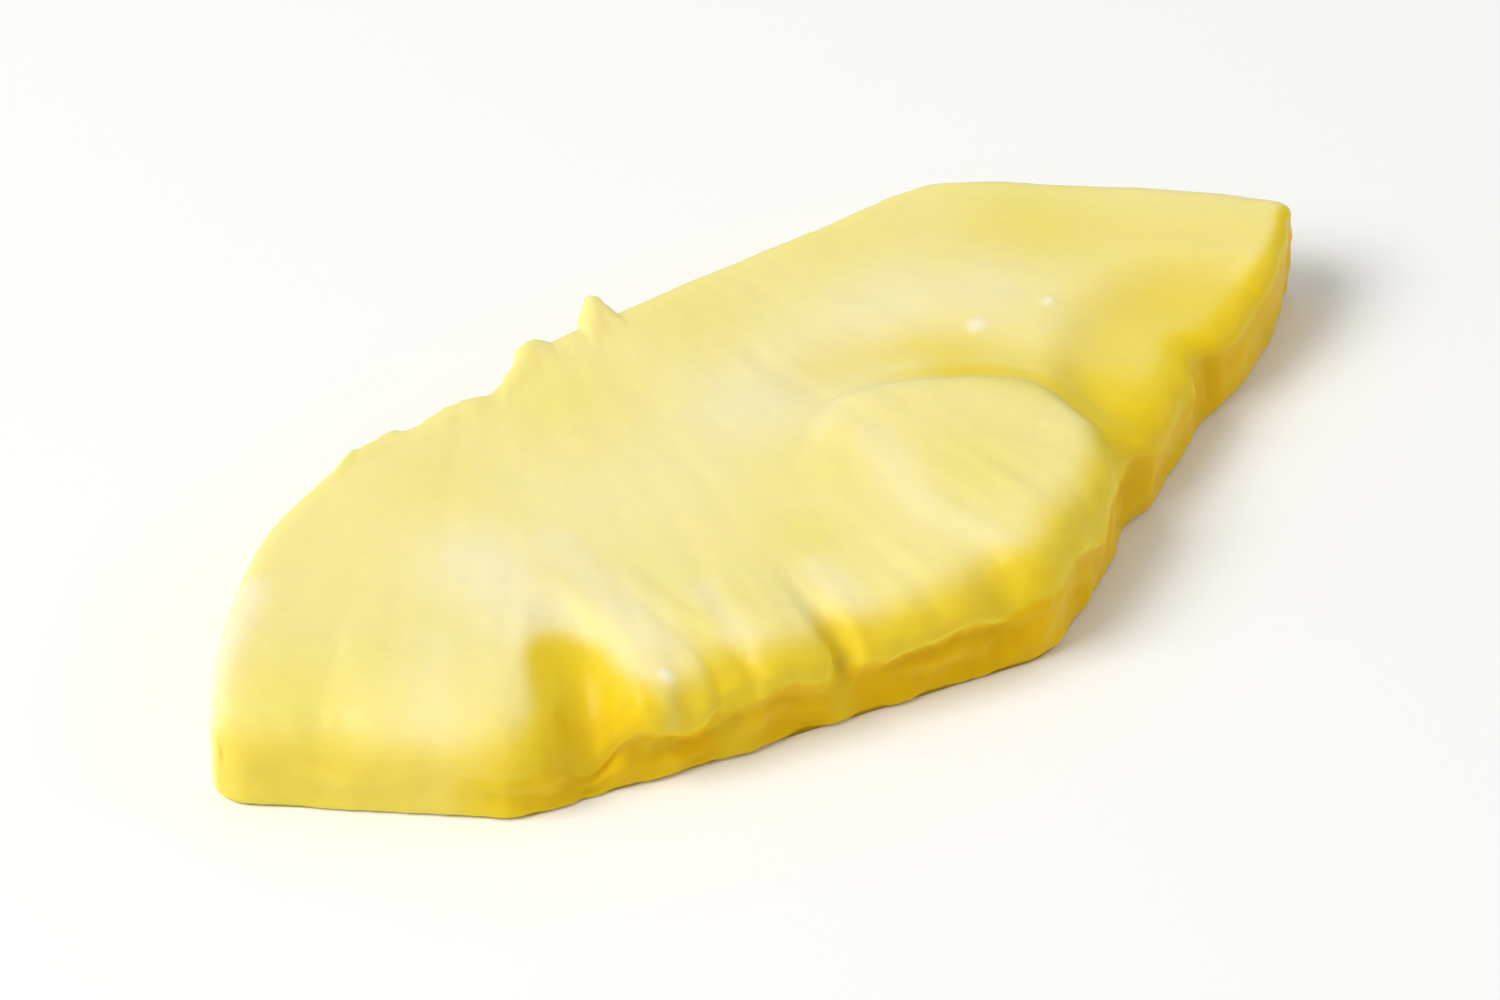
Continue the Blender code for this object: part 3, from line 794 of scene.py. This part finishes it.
def makeFlesh(look):
    flesh = bpy.data.materials.new("pineappleFlesh")
    flesh.use_nodes = True
    tree = flesh.node_tree
    tree.nodes.clear()
    place = addNode(tree, "ShaderNodeAttribute", {"attribute_name": "fibrePlace"}).outputs["Vector"]
    gold = addNode(tree, "ShaderNodeAttribute", {"attribute_name": "gold"}).outputs["Fac"]
    pale = addNode(tree, "ShaderNodeAttribute", {"attribute_name": "pale"}).outputs["Fac"]
    ripe = addNode(tree, "ShaderNodeAttribute", {"attribute_name": "ripe"}).outputs["Fac"]

    # the fibres wander: their places are swayed before any pattern is laid on them
    drift = addNode(tree, "ShaderNodeTexNoise", {"Scale": 1.0 / look["swayLength"], "Detail": 2.0},
                    {"Vector": place})
    centred = addNode(tree, "ShaderNodeVectorMath", {"operation": "SUBTRACT", 1: (0.5, 0.5, 0.5)},
                      {0: drift.outputs["Color"]})
    reach = (look["sway"] * 2.0, 0.0, 0.0)
    swayed = addNode(tree, "ShaderNodeVectorMath", {"operation": "MULTIPLY", 1: reach},
                     {0: centred.outputs[0]})
    fibrePlace = addNode(tree, "ShaderNodeVectorMath", {"operation": "ADD"},
                         {0: place, 1: swayed.outputs[0]}).outputs[0]

    # pale and lemon bands, the bundles of fibre in them, and the single strands
    low, high = look["patternContrast"]
    patterns = {}
    for name, detail in (("band", 2.0), ("bundle", 2.0), ("strand", 3.0)):
        stretch = [1.0 / look[name + side] for side in ("Width", "Length", "Depth")]
        stretched = addNode(tree, "ShaderNodeVectorMath", {"operation": "MULTIPLY", 1: stretch},
                            {0: fibrePlace})
        texture = addNode(tree, "ShaderNodeTexNoise", {"Scale": 1.0, "Detail": detail},
                          {"Vector": stretched.outputs[0]})
        patterns[name] = addNode(tree, "ShaderNodeMapRange", {"From Min": low, "From Max": high},
                                 {"Value": texture.outputs["Fac"]}).outputs[0]
    cells = addNode(tree, "ShaderNodeTexVoronoi",
                    {"feature": "SMOOTH_F1", "Scale": 1.0 / look["cellSize"], "Smoothness": 0.6},
                    {"Vector": fibrePlace}).outputs["Distance"]

    # the flesh's tones, laid over each other, the last with the painted highlights
    patch = addNode(tree, "ShaderNodeTexNoise",
                    {"Scale": 1.0 / look["patchSize"], "Detail": 3.0, "Distortion": 0.6}, {"Vector": place})
    low, high = look["patchContrast"]
    patchShare = addNode(tree, "ShaderNodeMapRange",
                         {"From Min": low, "From Max": high, "To Max": look["patchShare"]},
                         {"Value": patch.outputs["Fac"]})
    limeShare = addNode(tree, "ShaderNodeMath",
                        {"operation": "MULTIPLY_ADD", "use_clamp": True, 1: look["ripeShare"]},
                        {0: ripe, 2: patchShare.outputs[0]})
    bundleShare = addNode(tree, "ShaderNodeMath", {"operation": "MULTIPLY", 1: look["bundleShare"]},
                          {0: patterns["bundle"]})
    strandShare = addNode(tree, "ShaderNodeMapRange",
                          {"From Min": look["strandFrom"], "From Max": 1.0, "To Max": look["strandShare"]},
                          {"Value": patterns["strand"]})
    # pale streaks, partly painted highlights, broken up by the bundles
    paleAndHighlightShare = addNode(tree, "ShaderNodeMath", {"operation": "MULTIPLY"}, {0: pale, 1: patterns["bundle"]})
    tone = addNode(tree, "ShaderNodeMix",
                   {"data_type": "RGBA", 6: linear(look["cream"]), 7: linear(look["lemon"])},
                   {0: patterns["band"]}).outputs[2]
    layers = ((limeShare, "lime"), (bundleShare, "lemon"), (strandShare, "pale"), (paleAndHighlightShare, "pale"))
    for share, name in layers:
        tone = addNode(tree, "ShaderNodeMix", {"data_type": "RGBA", 7: linear(look[name])},
                       {0: share.outputs[0], 6: tone}).outputs[2]

    # the gold's edge is ragged, because it follows the fibres
    notGold = addNode(tree, "ShaderNodeMath", {"operation": "SUBTRACT", 0: 1.0}, {1: gold})
    edge = addNode(tree, "ShaderNodeMath", {"operation": "MULTIPLY"}, {0: gold, 1: notGold.outputs[0]})
    offset = addNode(tree, "ShaderNodeMath", {"operation": "SUBTRACT", 1: 0.5}, {0: patterns["bundle"]})
    ragged = addNode(tree, "ShaderNodeMath", {"operation": "MULTIPLY_ADD"},
                     {0: edge.outputs[0], 1: offset.outputs[0], 2: gold})
    goldTone = addNode(tree, "ShaderNodeValToRGB", {}, {"Fac": ragged.outputs[0]})
    ramp = goldTone.color_ramp
    ramp.elements[0].position = look["goldStops"]["lemonGold"]
    ramp.elements[0].color = linear(look["lemonGold"])
    ramp.elements[1].position = look["goldStops"]["deepGold"]
    ramp.elements[1].color = linear(look["deepGold"])
    ramp.elements.new(look["goldStops"]["gold"]).color = linear(look["gold"])
    amberShare = addNode(tree, "ShaderNodeMath", {"operation": "MULTIPLY", 1: look["amberShare"]},
                         {0: patterns["strand"]})
    deepTone = addNode(tree, "ShaderNodeMix", {"data_type": "RGBA", 7: linear(look["amber"])},
                       {0: amberShare.outputs[0], 6: goldTone.outputs["Color"]})
    # the gold, partly painted shade, takes over the flesh's tones
    goldAndShadeAmount = addNode(tree, "ShaderNodeMapRange",
                         {"interpolation_type": "SMOOTHSTEP", "From Max": look["goldFull"]},
                         {"Value": ragged.outputs[0]})
    colour = addNode(tree, "ShaderNodeMix", {"data_type": "RGBA"},
                     {0: goldAndShadeAmount.outputs[0], 6: tone, 7: deepTone.outputs[2]})

    # fibres and juice cells stand out a little, and the wetness changes from band to band
    fibreHeight = addNode(tree, "ShaderNodeMath", {"operation": "MULTIPLY_ADD", 1: look["strandHeight"]},
                          {0: patterns["strand"], 2: bundleShare.outputs[0]})
    height = addNode(tree, "ShaderNodeMath", {"operation": "MULTIPLY_ADD", 1: look["cellShare"]},
                     {0: cells, 2: fibreHeight.outputs[0]})
    bump = addNode(tree, "ShaderNodeBump", {"Strength": 1.0, "Distance": look["bumpHeight"] * mm},
                   {"Height": height.outputs[0]})
    wetness = addNode(tree, "ShaderNodeMapRange",
                      {"To Min": look["roughness"][0], "To Max": look["roughness"][1]},
                      {"Value": patterns["band"]})
    shader = addNode(tree, "ShaderNodeBsdfPrincipled", {
        "IOR": look["ior"],
        "Specular IOR Level": look["shine"],
        "Subsurface Weight": 1.0,
        "Subsurface Radius": look["glowTint"],
        "Subsurface Scale": look["glowDepth"] * mm,
        "Coat Weight": look["wetCoat"],
        "Coat Roughness": look["wetCoatRoughness"],
        "Coat IOR": look["wetCoatIor"],
    }, {"Base Color": colour.outputs[2], "Roughness": wetness.outputs[0], "Normal": bump.outputs[0]})
    addNode(tree, "ShaderNodeOutputMaterial", {}, {"Surface": shader.outputs[0]})
    return flesh


def makeSlice():
    mesh, facts = makeSliceMesh()
    paintFacts(mesh, facts)
    placeOnAxis(mesh)
    mesh.shade_smooth()
    mesh.materials.append(makeFlesh(fleshLook))
    piece = bpy.data.objects.new("pineappleSlice", mesh)
    bpy.context.scene.collection.objects.link(piece)
    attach(piece, "root")
    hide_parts("pineapple_slice")
    print("slice made:", len(mesh.polygons), "faces")


# matt white laminate, a plain pale table
tableTop = {"colour": "#FBFBF9", "roughness": 0.7, "size": 4.0}


def makeTable(look):
    laminate = bpy.data.materials.new("mattLaminate")
    laminate.use_nodes = True
    tree = laminate.node_tree
    tree.nodes.clear()
    shader = addNode(tree, "ShaderNodeBsdfPrincipled",
                     {"Base Color": linear(look["colour"]), "Roughness": look["roughness"]})
    addNode(tree, "ShaderNodeOutputMaterial", {}, {"Surface": shader.outputs[0]})
    bpy.ops.mesh.primitive_plane_add(size=look["size"])
    table = bpy.context.object
    table.name = "tableTop"
    table.data.materials.append(laminate)
    print("table made")


# the lamps are large and soft; the key stands behind the slice on the left, as in the photograph
studio = {
    "worldStrength": 0.41,
    "key": {"azimuth": -98.0, "height": 48.0, "distance": 1.2, "size": 0.7, "watts": 11.6},
    "fill": {"azimuth": 66.0, "height": 25.0, "distance": 1.4, "size": 1.0, "watts": 3.2},
}


def directionOf(azimuth, height):
    turn, tilt = math.radians(azimuth), math.radians(height)
    return Vector((math.sin(turn) * math.cos(tilt), -math.cos(turn) * math.cos(tilt), math.sin(tilt)))


def makeLamp(name, look):
    lamp = bpy.data.lights.new(name, "AREA")
    lamp.energy = look["watts"]
    lamp.size = look["size"]
    holder = bpy.data.objects.new(name, lamp)
    towards = directionOf(look["azimuth"], look["height"])
    holder.location = towards * look["distance"]
    holder.rotation_euler = towards.to_track_quat("Z", "Y").to_euler()
    bpy.context.scene.collection.objects.link(holder)


def makeStudio():
    world = bpy.data.worlds.new("studio")
    world.use_nodes = True
    background = world.node_tree.nodes["Background"]
    background.inputs["Color"].default_value = (1.0, 1.0, 1.0, 1.0)
    background.inputs["Strength"].default_value = studio["worldStrength"]
    bpy.context.scene.world = world
    makeLamp("keyLamp", studio["key"])
    makeLamp("fillLamp", studio["fill"])
    bpy.context.scene.view_settings.view_transform = "Standard"
    print("studio lit")


# the photograph's viewing angle, closer in so that the one slice fills the frame
cameraView = {
    "azimuth": -34.0,
    "elevation": 41.0,
    "distance": 0.668,
    "nearest": 0.01,
    "lens": 240.0,
    "aim": (-1.94, 0.44, 4.6),  # the point it looks at, in mm
}


def makeCamera():
    camera = bpy.data.cameras.new("camera")
    camera.lens = cameraView["lens"]
    camera.clip_start = cameraView["nearest"]
    holder = bpy.data.objects.new("camera", camera)
    aim = Vector(cameraView["aim"]) * mm
    back = directionOf(cameraView["azimuth"], cameraView["elevation"])
    holder.location = aim + back * cameraView["distance"]
    holder.rotation_euler = back.to_track_quat("Z", "Y").to_euler()
    bpy.context.scene.collection.objects.link(holder)
    bpy.context.scene.camera = holder
    print("camera set")


makeCamera()
makeSlice()
makeTable(tableTop)
makeStudio()
